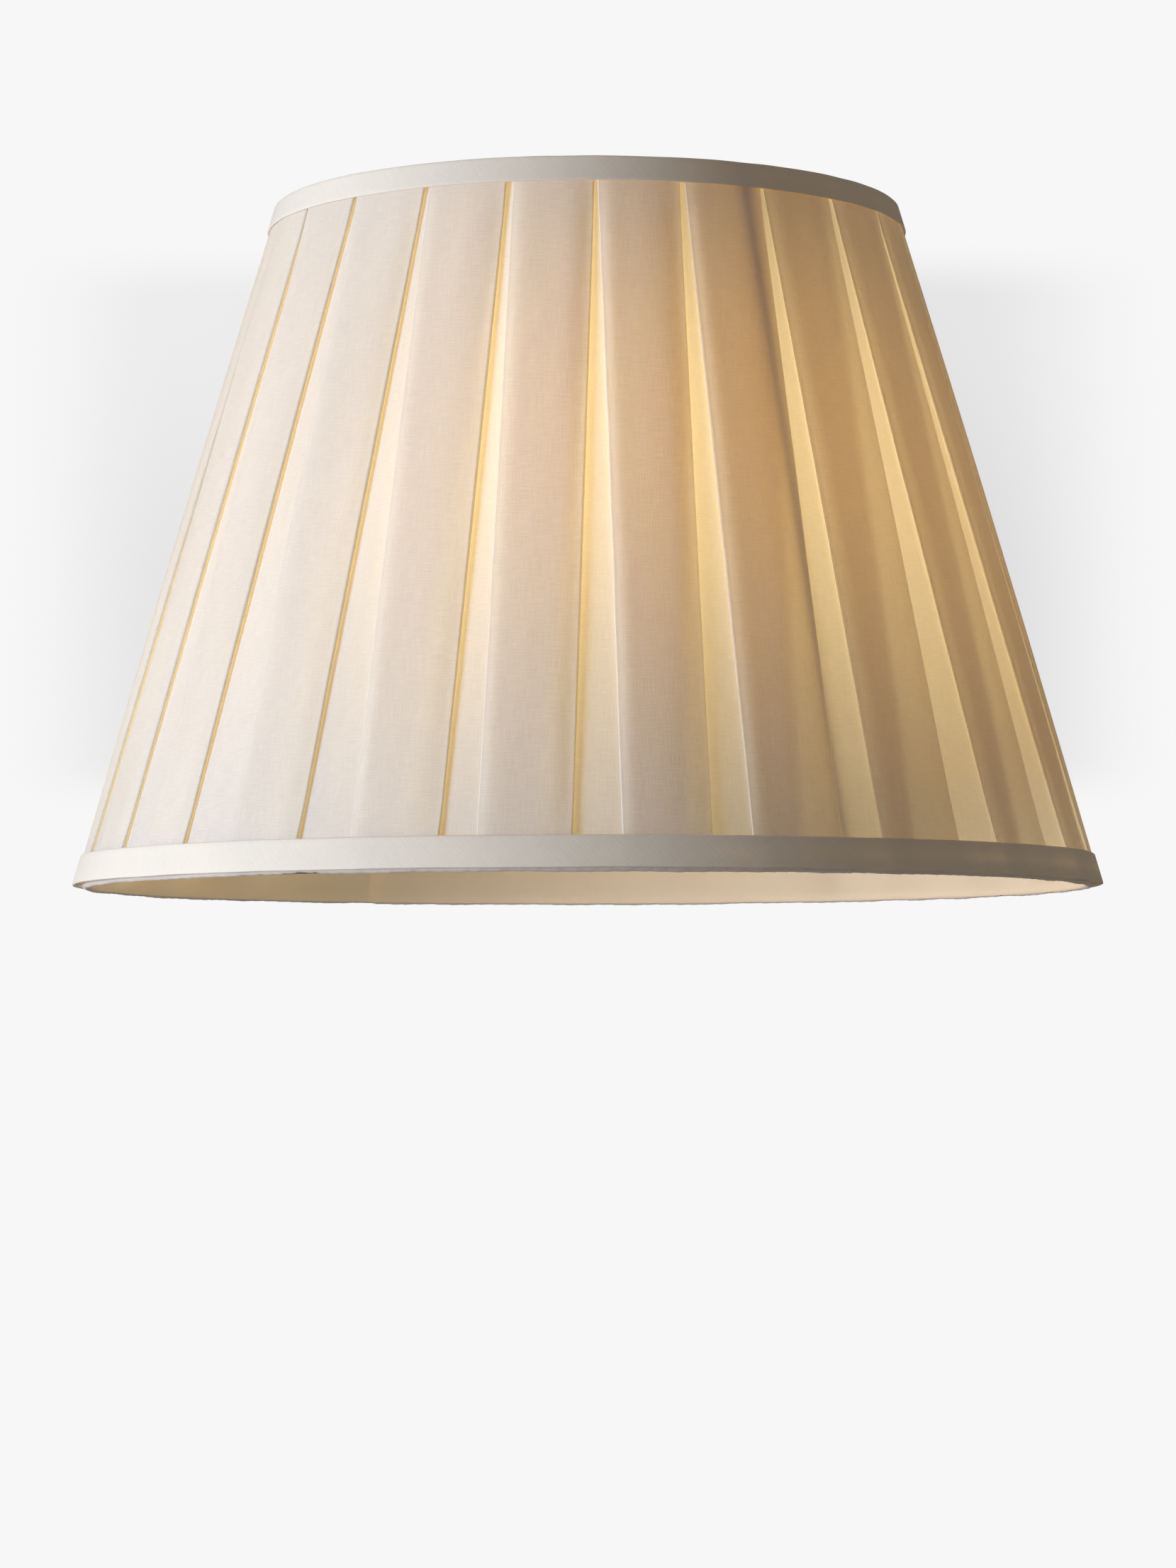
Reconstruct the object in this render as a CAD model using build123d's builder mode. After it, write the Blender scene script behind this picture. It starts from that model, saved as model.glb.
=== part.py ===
from build123d import *
import os
from math import asin, atan2, cos, degrees, radians, sin, tan

# A tapered lamp shade: a wire frame taped with cotton, a two-piece liner, a box-pleated
# cover, a trim round each rim, and a reversible gimbal that carries the lamp holder.
# The shade stands on its lower rim.  The origin is the middle of that rim, +Z is up and
# -Y is the front.  Angles round the shade are counted from the front towards +X.

# ---- driving dimensions, millimetres -------------------------------------------------
height = 266.0            # from the lower rim to the upper rim
base_diameter = 400.0     # over the lower trim, where its slope meets the rest surface
top_diameter = 244.0      # over the upper trim, where its slope reaches the full height

trim_thickness = 1.1
cover_thickness = 2.0     # three layers of pleated cloth
liner_thickness = 0.6
tape_thickness = 0.5      # tape wound round both rings and the two seam struts
layer_gap = 0.1           # clearance between neighbouring layers
lower_trim_width = 12.0   # along the slope
upper_trim_width = 10.0
lower_lip = 1.4           # height of taped ring that shows below the lower trim
upper_lip = 0.6           # and above the upper trim
rest_flat = 0.1           # how far the tape is pressed flat where the shade stands
liner_edge_gap = 0.7      # liner clear of the surface below and of the lugs above

ring_wire = 3.0           # wire diameters
strut_wire = 2.4
strut_count = 6
seam_angle = 28.0         # the strut that carries the front seam of the liner

hinge_drop = 30.0         # hinge line below the upper rim
hinge_radius = 111.0      # from the shade's axis to the inner face of each lug
lug_width = 12.0
lug_thickness = 1.5
lug_corner = 1.6          # outer bend radius at the lug's shoulder
rivet_radius = 2.0
rivet_head_radius = 4.0
rivet_head_height = 1.6
rivet_head_round = 1.3
running_gap = 0.15        # between the turning arm and its neighbours, along the rivet
bore_clearance = 0.05     # radial, between the rivet and the turning arm

arm_width = 10.0
arm_thickness = 2.0
arm_bend = 7.0            # bend radius at the arm's centre line
arm_drop = 24.0           # hinge line to the arm's lower run
weld_overlap = 4.0        # arm lying on the fitter ring

fitter_bore = 42.0        # diameter of the hole in the steel ring
fitter_diameter = 60.0
fitter_thickness = 1.5
fitter_rim = 4.0          # depth of the turned-down outer rim
reducer_bore = 29.5       # diameter of the hole that takes the lamp holder
reducer_flange = 50.0
reducer_flange_height = 1.5
reducer_spigot = 2.5      # how far the spigot reaches down
reducer_clearance = 0.05  # radial, between the spigot and the steel ring
reducer_notches = 6
edge_round = 0.3          # small rounding on stamped and moulded edges

# ---- worked-out values ---------------------------------------------------------------
slope = atan2((base_diameter - top_diameter) / 2, height)
taped_radius = ring_wire / 2 + tape_thickness
cover_depth = trim_thickness + layer_gap
frame_depth = cover_depth + cover_thickness + layer_gap + taped_radius
liner_depth = frame_depth + taped_radius + layer_gap

lower_ring_z = taped_radius - rest_flat
upper_ring_z = height - taped_radius
strut_length = (upper_ring_z - lower_ring_z) / cos(slope)
strut_angles = [seam_angle + step * 360 / strut_count for step in range(strut_count)]

hinge_z = height - hinge_drop
arm_z = hinge_z - arm_drop
fitter_top = arm_z - arm_thickness / 2
arm_outer = hinge_radius - running_gap
arm_middle = arm_outer - arm_thickness / 2
lug_outer = hinge_radius + lug_thickness


# ---- helpers -------------------------------------------------------------------------
def wall_radius(z, depth):
    """Radius at height z of the cone that lies depth inside the outermost surface."""
    return base_diameter / 2 - z * tan(slope) - depth / cos(slope)


def outward(angle):
    """Unit vector pointing away from the shade's axis at an angle from the front."""
    return Vector(sin(radians(angle)), -cos(radians(angle)), 0)


def radial_plane(angle):
    """Upright plane through the shade's axis: local x points outwards, local y up."""
    return Plane(origin=(0, 0, 0), x_dir=outward(angle), z_dir=outward(angle).cross(Vector(0, 0, 1)))


def strut_plane(angle, start=0):
    """Plane square to a strut, a given way up from the middle of the lower ring's wire."""
    foot = outward(angle) * wall_radius(lower_ring_z, frame_depth) + Vector(0, 0, lower_ring_z)
    upward = outward(angle) * -sin(slope) + Vector(0, 0, cos(slope))
    return Plane(origin=foot + upward * start, z_dir=upward)


def hinge_plane(angle, radius, facing=1):
    """Plane square to the hinge line, facing away from the axis, or towards it with -1."""
    origin = outward(angle) * radius + Vector(0, 0, hinge_z)
    return Plane(origin=origin, z_dir=outward(angle) * facing)


def conical_wall(low, high, depth, thickness, start=90, arc=360):
    """Closed tapered wall between two heights, turned about the axis from a start angle."""
    with BuildPart() as wall:
        with BuildSketch(radial_plane(start)):
            with BuildLine():
                Polyline(
                    (wall_radius(low, depth), low),
                    (wall_radius(high, depth), high),
                    (wall_radius(high, depth + thickness), high),
                    (wall_radius(low, depth + thickness), low),
                    close=True,
                )
            make_face()
        revolve(axis=Axis.Z, revolution_arc=arc)
    return wall


def ring_wire_loop(z):
    """Closed ring of wire at height z."""
    with BuildPart() as loop:
        with BuildSketch(Plane.XZ):
            with Locations((wall_radius(z, frame_depth), z)):
                Circle(ring_wire / 2)
        revolve(axis=Axis.Z)
    return loop


def ring_tape(z, start, arc):
    """Tape round a ring wire, open towards the struts and pressed flat at the lower rim."""
    centre = Vector(wall_radius(z, frame_depth), z)
    towards_middle = height / 2 - z
    strut_side = Vector(-sin(slope), cos(slope)) * (taped_radius if towards_middle > 0 else -taped_radius)
    with BuildPart() as tape:
        with BuildSketch(radial_plane(start)):
            with Locations(centre):
                Circle(taped_radius)
                Circle(ring_wire / 2, mode=Mode.SUBTRACT)
            with Locations(centre + strut_side):
                slot_width = strut_wire + 2 * layer_gap
                Rectangle(slot_width, 2 * taped_radius, rotation=degrees(slope), mode=Mode.SUBTRACT)
            Rectangle(base_diameter, height, align=(Align.CENTER, Align.MAX), mode=Mode.SUBTRACT)
        revolve(axis=Axis.Z, revolution_arc=arc)
    return tape


def save(builder, name):
    """Label a finished piece and write it to its own file."""
    builder.part.label = name
    export_step(builder.part, f"parts/{name}.step")


os.makedirs("parts", exist_ok=True)

# ---- wire frame ----------------------------------------------------------------------
upper_ring = ring_wire_loop(upper_ring_z)
lower_ring = ring_wire_loop(lower_ring_z)
save(upper_ring, "upper_ring")
save(lower_ring, "lower_ring")

for number, angle in enumerate(strut_angles, start=1):
    with BuildPart() as strut:
        with BuildSketch(strut_plane(angle)):
            Circle(strut_wire / 2)
        extrude(amount=strut_length)
        add(lower_ring.part, mode=Mode.SUBTRACT)
        add(upper_ring.part, mode=Mode.SUBTRACT)
    save(strut, f"strut_{number}")

# Each lug hangs from the upper ring, inside the liner, and carries one end of the hinge.
for side, angle in (("front", 0), ("rear", 180)):
    shoulder = upper_ring_z + lug_thickness / 2
    with BuildPart() as lug:
        with BuildSketch(radial_plane(angle)):
            with BuildLine():
                Polyline(
                    (wall_radius(upper_ring_z, frame_depth), shoulder),
                    (hinge_radius, shoulder),
                    (hinge_radius, hinge_z - lug_width / 2),
                    (lug_outer, hinge_z - lug_width / 2),
                    (lug_outer, shoulder - lug_thickness),
                    (wall_radius(upper_ring_z, frame_depth), shoulder - lug_thickness),
                    close=True,
                )
            make_face()
            fillet(vertices().sort_by_distance((hinge_radius, shoulder))[0], radius=lug_corner)
        extrude(amount=lug_width / 2, both=True)
        foot_edges = edges().filter_by(Axis.Y).group_by(Axis.Z)[0]
        fillet(foot_edges, radius=lug_width / 2 - layer_gap)
        with BuildSketch(hinge_plane(angle, 0)):
            Circle(rivet_radius)
        extrude(amount=base_diameter / 2, mode=Mode.SUBTRACT)
        add(upper_ring.part, mode=Mode.SUBTRACT)
    save(lug, f"gimbal_lug_{side}")

# ---- cotton tape ---------------------------------------------------------------------
# Each ring is wound in two lengths: from seam strut to seam strut, and from lug to lug.
# The tape leaves a slot where the struts run in.
lug_half_angle = degrees(asin((lug_width / 2 + layer_gap) / hinge_radius))
for side, half_turn in (("right", 0), ("left", 180)):
    save(ring_tape(lower_ring_z, half_turn + seam_angle, 180), f"lower_ring_tape_{side}")
    upper_arc = 180 - 2 * lug_half_angle
    save(ring_tape(upper_ring_z, half_turn + lug_half_angle, upper_arc), f"upper_ring_tape_{side}")

tape_inset = taped_radius + layer_gap
for name, angle in (("seam_strut_tape_front", seam_angle), ("seam_strut_tape_rear", seam_angle + 180)):
    with BuildPart() as strut_tape:
        with BuildSketch(strut_plane(angle, tape_inset)):
            Circle(strut_wire / 2 + tape_thickness)
            Circle(strut_wire / 2, mode=Mode.SUBTRACT)
        extrude(amount=strut_length - 2 * tape_inset)
    save(strut_tape, name)

# ---- cloth layers, from the inside out -----------------------------------------------
liner_low = liner_edge_gap
liner_high = upper_ring_z - lug_thickness / 2 - liner_edge_gap
for side, start in (("right", seam_angle), ("left", seam_angle + 180)):
    panel = conical_wall(liner_low, liner_high, liner_depth, liner_thickness, start, 180)
    save(panel, f"liner_panel_{side}")

cover_low = lower_lip + layer_gap
cover_high = height - upper_lip - layer_gap
save(conical_wall(cover_low, cover_high, cover_depth, cover_thickness), "pleated_cover")

lower_trim_high = lower_lip + lower_trim_width * cos(slope)
upper_trim_high = height - upper_lip
upper_trim_low = upper_trim_high - upper_trim_width * cos(slope)
save(conical_wall(lower_lip, lower_trim_high, 0, trim_thickness), "lower_trim")
save(conical_wall(upper_trim_low, upper_trim_high, 0, trim_thickness), "upper_trim")

# ---- gimbal --------------------------------------------------------------------------
for side, angle in (("front", 0), ("rear", 180)):
    arm_inner = arm_outer - arm_thickness
    rivet_inner = arm_inner - running_gap
    with BuildPart() as rivet:
        with BuildSketch(hinge_plane(angle, rivet_inner)):
            Circle(rivet_radius)
        extrude(amount=lug_outer - rivet_inner)
        for head_face, facing in ((lug_outer, 1), (rivet_inner, -1)):
            with BuildSketch(hinge_plane(angle, head_face, facing)):
                Circle(rivet_head_radius)
            extrude(amount=rivet_head_height)
        head_rims = edges().group_by(Axis.Y)[0] + edges().group_by(Axis.Y)[-1]
        fillet(head_rims, radius=rivet_head_round)
    save(rivet, f"pivot_rivet_{side}")

    with BuildPart() as arm:
        with BuildSketch(radial_plane(angle)):
            with BuildLine():
                FilletPolyline(
                    (arm_middle, hinge_z + arm_width / 2),
                    (arm_middle, arm_z),
                    (fitter_diameter / 2 - weld_overlap, arm_z),
                    radius=arm_bend,
                )
            trace(line_width=arm_thickness)
        extrude(amount=arm_width / 2, both=True)
        eye_edges = edges().filter_by(Axis.Y).group_by(Axis.Z)[-1]
        fillet(eye_edges, radius=arm_width / 2 - layer_gap)
        with BuildSketch(hinge_plane(angle, 0)):
            Circle(rivet_radius + bore_clearance)
        extrude(amount=base_diameter / 2, mode=Mode.SUBTRACT)
    save(arm, f"gimbal_arm_{side}")

with BuildPart() as fitter_ring:
    with BuildSketch(Plane.XZ):
        with BuildLine():
            Polyline(
                (fitter_bore / 2, fitter_top),
                (fitter_diameter / 2, fitter_top),
                (fitter_diameter / 2, fitter_top - fitter_rim),
                (fitter_diameter / 2 - fitter_thickness, fitter_top - fitter_rim),
                (fitter_diameter / 2 - fitter_thickness, fitter_top - fitter_thickness),
                (fitter_bore / 2, fitter_top - fitter_thickness),
                close=True,
            )
        make_face()
    revolve(axis=Axis.Z)
    fillet(edges().filter_by(GeomType.CIRCLE).group_by(Axis.Z)[0], radius=edge_round)
save(fitter_ring, "fitter_ring")

with BuildPart() as reducer_ring:
    with BuildSketch(Plane.XY.offset(fitter_top)):
        Circle(reducer_flange / 2)
        with PolarLocations(reducer_flange / 2, reducer_notches):
            Circle(reducer_flange / 2 - fitter_bore / 2 - 1, mode=Mode.SUBTRACT)
    extrude(amount=reducer_flange_height)
    fillet(edges().group_by(Axis.Z)[-1], radius=edge_round)
    with BuildSketch(Plane.XY.offset(fitter_top - reducer_spigot)):
        Circle(fitter_bore / 2 - reducer_clearance)
    extrude(amount=reducer_spigot)
    with BuildSketch(Plane.XY.offset(fitter_top - reducer_spigot)):
        Circle(reducer_bore / 2)
    extrude(amount=reducer_spigot + reducer_flange_height, mode=Mode.SUBTRACT)
save(reducer_ring, "reducer_ring")
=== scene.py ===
"""Box-pleated lamp shade: its cloth, tape, wire frame and gimbal fitter, in a plain studio."""

import logging
import math
import random
from dataclasses import dataclass, field, replace
from enum import Enum
from functools import cache
from typing import Callable, Sequence

import bmesh
import bpy
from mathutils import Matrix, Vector, noise


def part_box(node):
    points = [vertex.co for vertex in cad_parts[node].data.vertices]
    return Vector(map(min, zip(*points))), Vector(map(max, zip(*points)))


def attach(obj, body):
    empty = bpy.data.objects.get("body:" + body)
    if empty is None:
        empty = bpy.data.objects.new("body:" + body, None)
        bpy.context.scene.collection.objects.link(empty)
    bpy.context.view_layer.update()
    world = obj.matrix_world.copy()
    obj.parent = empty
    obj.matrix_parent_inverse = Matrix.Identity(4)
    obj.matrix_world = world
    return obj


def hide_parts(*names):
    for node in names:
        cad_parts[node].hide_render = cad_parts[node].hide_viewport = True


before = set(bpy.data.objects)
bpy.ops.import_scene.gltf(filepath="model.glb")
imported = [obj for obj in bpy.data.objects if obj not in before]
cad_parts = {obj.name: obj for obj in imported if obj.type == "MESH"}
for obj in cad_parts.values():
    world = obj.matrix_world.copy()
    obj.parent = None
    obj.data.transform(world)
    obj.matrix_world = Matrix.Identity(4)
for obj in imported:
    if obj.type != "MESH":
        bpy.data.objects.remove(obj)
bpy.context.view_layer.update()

log = logging.getLogger("lamp_shade")
MM = 0.001
WELD = 0.002 * MM
SHADE_BODY = "shade"
WEAVE_UV = "weave"
PACKING = "packing"
WHITE = (1.0, 1.0, 1.0)
BLACK = (0.0, 0.0, 0.0)
# A Mix node's colour sockets, whose names are also those of its number sockets.
MIX_A, MIX_B, MIX_RESULT = 6, 7, 2

Colour = tuple[float, float, float]
ClothLine = list[tuple[float, float, float]]


class NodeTree:
    """The node tree of a new material or world, with short ways to add to it."""

    def __init__(
        self,
        owner: bpy.types.Material | bpy.types.World,
        output: str = "ShaderNodeOutputMaterial",
    ) -> None:
        """Empties the tree down to its output node."""
        owner.use_nodes = True
        self.owner = owner
        self.nodes, self.link = owner.node_tree.nodes, owner.node_tree.links.new
        self.nodes.clear()
        self.output = self.add(output)

    def add(self, kind: str, inputs: dict[str | int, object] | None = None) -> bpy.types.Node:
        """Adds a node.

        Args:
            kind: The node's type.
            inputs: What its sockets take: another node's output, which is linked, or a value.

        Returns:
            The node.
        """
        node = self.nodes.new(kind)
        for socket, source in (inputs or {}).items():
            if isinstance(source, bpy.types.NodeSocket):
                self.link(source, node.inputs[socket])
            else:
                node.inputs[socket].default_value = source
        return node

    def surface(self, shader: bpy.types.NodeSocket) -> bpy.types.Material | bpy.types.World:
        """Links a shader to the output, and gives the finished material or world."""
        self.link(shader, self.output.inputs["Surface"])
        return self.owner

    def noise_band(
        self, place: bpy.types.NodeSocket, scale: tuple[float, float, float]
    ) -> bpy.types.NodeSocket:
        """Adds noise that is drawn out along the directions with a small scale.

        Args:
            place: The coordinates to read, in metres.
            scale: Noise features per metre in each direction.

        Returns:
            The noise's value.
        """
        mapping = self.add("ShaderNodeMapping", {"Scale": scale, "Vector": place})
        band = self.add("ShaderNodeTexNoise", {
            "Scale": 1.0, "Detail": 2.0, "Roughness": 0.55, "Vector": mapping.outputs["Vector"]})
        return band.outputs["Fac"]

    def math(
        self,
        operation: str,
        a: bpy.types.NodeSocket,
        b: bpy.types.NodeSocket,
        factor: float | None = None,
    ) -> bpy.types.NodeSocket:
        """Adds a math node on two sockets.

        Args:
            operation: The node's operation. MULTIPLY_ADD gives a times factor plus b.
            a: The first value.
            b: The second value.
            factor: What MULTIPLY_ADD multiplies a by.

        Returns:
            The result.
        """
        inputs = {0: a, 1: b} if factor is None else {0: a, 1: factor, 2: b}
        result = self.add("ShaderNodeMath", inputs)
        result.operation = operation
        return result.outputs["Value"]

    def mix_colour(
        self, share: bpy.types.NodeSocket, a: Sequence[float], b: Sequence[float]
    ) -> bpy.types.NodeSocket:
        """Adds a node that blends two colours.

        Args:
            share: How much of the second colour, from 0 to 1.
            a: The first colour.
            b: The second colour.

        Returns:
            The blended colour.
        """
        mix = self.add("ShaderNodeMix", {"Factor": share, MIX_A: (*a, 1.0), MIX_B: (*b, 1.0)})
        mix.data_type = "RGBA"
        return mix.outputs[MIX_RESULT]


class Surface(Enum):
    """How a hard finish is made, with its grain in features per metre in each direction."""

    DRAWN_WIRE = (900.0, 900.0, 60.0)
    PLATED = (420.0, 420.0, 420.0)
    MOULDED = (1500.0, 1500.0, 1500.0)


@dataclass(frozen=True)
class ClothFinish:
    """A woven cloth: its dyed colour, its thread, and how much lamplight it lets through.

    Slubs are its thicker, darker threads. The glow share of the light scatters through it in the
    lamplit colour, and what passes a dense stretch straight takes the passes colour. The runs and
    the cloud are noise features per metre. Lengths are in metres.
    """

    name: str
    colour: Colour
    slub_colour: Colour
    lamplit: Colour
    glow: float
    passes: Colour
    thread: float = 0.42 * MM
    relief: float = 0.07 * MM
    slub: float = 0.65
    roughness: float = 0.78
    sheen: float = 0.3
    warp_run: float = 110.0
    weft_run: float = 140.0
    cloud: tuple[float, float] = (45.0, 9.0)
    cloud_share: float = 0.6
    streaks: tuple[float, float] = (0.95, 1.65)
    glow_dim: float = 0.86
    specular: float = 0.25
    sheen_roughness: float = 0.45

    def material(self) -> bpy.types.Material:
        """Builds the cloth's node material.

        Returns:
            The material, which reads the piece's own weave UV map, in metres.
        """
        tree = NodeTree(bpy.data.materials.new(self.name + "_weave"))
        uv = tree.add("ShaderNodeUVMap")
        uv.uv_map = WEAVE_UV
        place = uv.outputs["UV"]
        warp = tree.noise_band(place, (1 / self.thread, self.warp_run, 1.0))
        weft = tree.noise_band(place, (self.weft_run, 1 / self.thread, 1.0))
        cloud = tree.noise_band(place, (*self.cloud, 1.0))
        weave = tree.math("ADD", warp, weft)
        slubs = tree.add("ShaderNodeMapRange", {
            "Value": tree.math("MULTIPLY_ADD", cloud, weave, self.cloud_share),
            "From Min": self.streaks[0],
            "From Max": self.streaks[1],
            "To Max": self.slub,
        }).outputs["Result"]
        bump = tree.add("ShaderNodeBump", {
            "Strength": 1.0, "Distance": self.relief, "Height": weave})
        face = tree.add("ShaderNodeBsdfPrincipled", {
            "Base Color": tree.mix_colour(slubs, self.colour, self.slub_colour),
            "Roughness": self.roughness,
            "Specular IOR Level": self.specular,
            "Sheen Weight": self.sheen,
            "Sheen Roughness": self.sheen_roughness,
            "Normal": bump.outputs["Normal"],
        })
        dimmed = tuple(c * self.glow_dim for c in self.lamplit)
        through = tree.add("ShaderNodeBsdfTranslucent", {
            "Color": tree.mix_colour(slubs, self.lamplit, dimmed)})
        cloth = tree.add("ShaderNodeMixShader", {
            "Fac": self.glow, 1: face.outputs["BSDF"], 2: through.outputs["BSDF"]})
        packing = tree.add("ShaderNodeAttribute")
        packing.attribute_name = PACKING
        clear = tree.add("ShaderNodeBsdfTransparent", {
            "Color": tree.mix_colour(packing.outputs["Fac"], WHITE, self.passes)})
        lit = tree.add("ShaderNodeMixShader", {
            "Fac": tree.add("ShaderNodeLightPath").outputs["Is Shadow Ray"],
            1: cloth.outputs["Shader"],
            2: clear.outputs["BSDF"],
        })
        return tree.surface(lit.outputs["Shader"])


@dataclass(frozen=True)
class HardFinish:
    """A metal or plastic: its colour, its gloss, and the marks of how it was made.

    Its worn colour lies in patches, where the noise passes from one of their two values to the
    other. The gloss spread is the least and the most roughness, as shares of the middle one.
    """

    name: str
    colour: Colour
    worn: Colour
    metallic: float
    roughness: float
    surface: Surface
    relief: float = 0.02 * MM
    patch: float = 60.0
    patches: tuple[float, float] = (0.42, 0.68)
    gloss_spread: tuple[float, float] = (0.8, 1.25)
    bump: float = 0.6

    def material(self) -> bpy.types.Material:
        """Builds the finish's node material on Object coordinates.

        Returns:
            The material.
        """
        tree = NodeTree(bpy.data.materials.new(self.name + "_finish"))
        place = tree.add("ShaderNodeTexCoord").outputs["Object"]
        fine = tree.noise_band(place, self.surface.value)
        dirt = tree.add("ShaderNodeMapRange", {
            "Value": tree.noise_band(place, (self.patch,) * 3),
            "From Min": self.patches[0],
            "From Max": self.patches[1],
        })
        dull = tree.add("ShaderNodeMapRange", {
            "Value": fine,
            "To Min": self.roughness * self.gloss_spread[0],
            "To Max": min(1.0, self.roughness * self.gloss_spread[1]),
        })
        bump = tree.add("ShaderNodeBump", {
            "Strength": self.bump, "Distance": self.relief, "Height": fine})
        body = tree.add("ShaderNodeBsdfPrincipled", {
            "Metallic": self.metallic,
            "Base Color": tree.mix_colour(dirt.outputs["Result"], self.colour, self.worn),
            "Roughness": dull.outputs["Result"],
            "Normal": bump.outputs["Normal"],
        })
        return tree.surface(body.outputs["BSDF"])


COVER_SILK = ClothFinish(
    name="cover_silk",
    colour=(0.70, 0.765, 0.91),
    slub_colour=(0.545, 0.60, 0.71),
    lamplit=(1.0, 0.95, 0.75),
    glow=0.37,
    passes=(0.58, 0.36, 0.05),
)
TRIM_SILK = ClothFinish(
    name="trim_silk",
    colour=(0.82, 0.80, 0.77),
    slub_colour=(0.72, 0.70, 0.67),
    lamplit=(1.0, 0.92, 0.70),
    glow=0.09,
    passes=(0.45, 0.38, 0.26),
)
LINER_CLOTH = ClothFinish(
    name="liner_cloth",
    colour=(0.86, 0.88, 0.97),
    slub_colour=(0.80, 0.81, 0.88),
    lamplit=(1.0, 0.96, 0.84),
    glow=0.5,
    passes=(0.60, 0.50, 0.32),
    thread=0.3 * MM,
    relief=0.02 * MM,
    slub=0.3,
)
# A darker copy of the liner cloth, worn by the left liner panel.
LINER_CLOTH_DARKER = replace(
    LINER_CLOTH, colour=(0.76, 0.78, 0.85), slub_colour=(0.70, 0.715, 0.775)
)
COTTON_TAPE = ClothFinish(
    name="cotton_tape",
    colour=(0.86, 0.84, 0.86),
    slub_colour=(0.78, 0.76, 0.77),
    lamplit=(1.0, 0.86, 0.66),
    glow=0.1,
    passes=(0.62, 0.52, 0.40),
    thread=0.5 * MM,
    relief=0.08 * MM,
)
FRAME_WIRE = HardFinish(
    "frame_wire", (0.62, 0.60, 0.56), (0.45, 0.43, 0.40), metallic=1.0, roughness=0.42,
    surface=Surface.DRAWN_WIRE)
GIMBAL_STEEL = HardFinish(
    "gimbal_steel", (0.66, 0.65, 0.62), (0.52, 0.50, 0.46), metallic=1.0, roughness=0.34,
    surface=Surface.PLATED)
RIVET_STEEL = HardFinish(
    "rivet_steel", (0.58, 0.57, 0.55), (0.42, 0.41, 0.39), metallic=1.0, roughness=0.38,
    surface=Surface.PLATED)
REDUCER_PLASTIC = HardFinish(
    "reducer_plastic", (0.82, 0.81, 0.78), (0.76, 0.75, 0.71), metallic=0.0, roughness=0.46,
    surface=Surface.MOULDED)


@dataclass
class ConeWall:
    """The shade's tapering wall, taken from its two trim bands. Depth runs inwards from them."""

    foot_radius: float
    taper: float

    @classmethod
    def from_frame(cls) -> "ConeWall":
        """Reads the wall's foot and taper from the frame's trim bands."""
        low, low_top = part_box("lower_trim")
        high, high_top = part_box("upper_trim")
        taper = (low_top.x - high_top.x) / (high.z - low.z)
        return cls(foot_radius=low_top.x + low.z * taper, taper=taper)

    @property
    def slope(self) -> float:
        """The wall's lean from upright, in radians."""
        return math.atan(self.taper)

    def radius(self, z: float, depth: float = 0.0) -> float:
        """The wall's radius at a height and a depth under its outer face, in metres."""
        return self.foot_radius - z * self.taper - depth / math.cos(self.slope)

    def point(self, angle: float, z: float, depth: float = 0.0) -> Vector:
        """Finds a point in the wall.

        Args:
            angle: The angle round the shade in radians, from the front towards the right.
            z: The height in metres.
            depth: The depth under the outer face in metres.

        Returns:
            The point in the shade's frame.
        """
        r = self.radius(z, depth)
        return Vector((r * math.sin(angle), -r * math.cos(angle), z))


def finish_piece(
    bm: bmesh.types.BMesh,
    name: str,
    finish: ClothFinish,
    body: str,
    node_names: Sequence[str],
    outward: Callable[[Vector], Vector] | None = None,
) -> bpy.types.Object:
    """Turns a bmesh into a dressed piece that rides on its body and stands for CAD nodes.

    Args:
        bm: The mesh, in the shade's frame. It is freed.
        name: The piece's name.
        finish: Its cloth.
        body: The CAD body it rides on.
        node_names: The CAD nodes it stands for.
        outward: Gives the way out at a point. The mesh is turned over if it faces the other way.

    Returns:
        The new object.
    """
    bm.normal_update()
    if outward is not None:
        facing = sum(
            f.normal.dot(outward(f.calc_center_median())) * f.calc_area() for f in bm.faces
        )
        if facing < 0:
            bmesh.ops.reverse_faces(bm, faces=bm.faces[:])
    mesh = bpy.data.meshes.new(name)
    bm.to_mesh(mesh)
    bm.free()
    mesh.polygons.foreach_set("use_smooth", [True] * len(mesh.polygons))
    mesh.materials.append(finish_material(finish))
    piece = bpy.data.objects.new(name, mesh)
    bpy.context.scene.collection.objects.link(piece)
    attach(piece, body)
    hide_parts(*node_names)
    log.info("%s: %d faces, %s", name, len(mesh.polygons), finish.name)
    return piece


@cache
def finish_material(finish: ClothFinish | HardFinish) -> bpy.types.Material:
    """The finish's material, made the first time it is asked for."""
    return finish.material()


@dataclass(frozen=True)
class ClothPoint:
    """A point of laid cloth, with the weave's two lengths there and how densely layers pack."""

    place: Vector
    along: float
    up: float
    packing: float = 1.0


def mapped_grid(
    columns: int, rows: int, lay: Callable[[int, int], ClothPoint]
) -> bmesh.types.BMesh:
    """Lays a grid of cloth over a shape.

    Args:
        columns: The number of faces along the cloth.
        rows: The number of faces up the cloth.
        lay: Gives the cloth's point at a column and a row.

    Returns:
        The cloth's mesh with its weave UV map and its packing attribute.
    """
    half = 0.5
    bm = bmesh.new()
    bmesh.ops.create_grid(bm, x_segments=columns, y_segments=rows, size=half)
    weave = bm.loops.layers.uv.new(WEAVE_UV)
    packing = bm.verts.layers.float.new(PACKING)
    for vert in bm.verts:
        column = round((vert.co.x + half) * columns)
        row = round((vert.co.y + half) * rows)
        point = lay(column, row)
        vert.co = point.place
        vert[packing] = point.packing
        for loop in vert.link_loops:
            loop[weave].uv = (point.along, point.up)
    return bm


def away_from_axis(point: Vector) -> Vector:
    """The way out from the shade's upright axis at a point."""
    return Vector((point.x, point.y, 0.0)).normalized()


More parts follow.
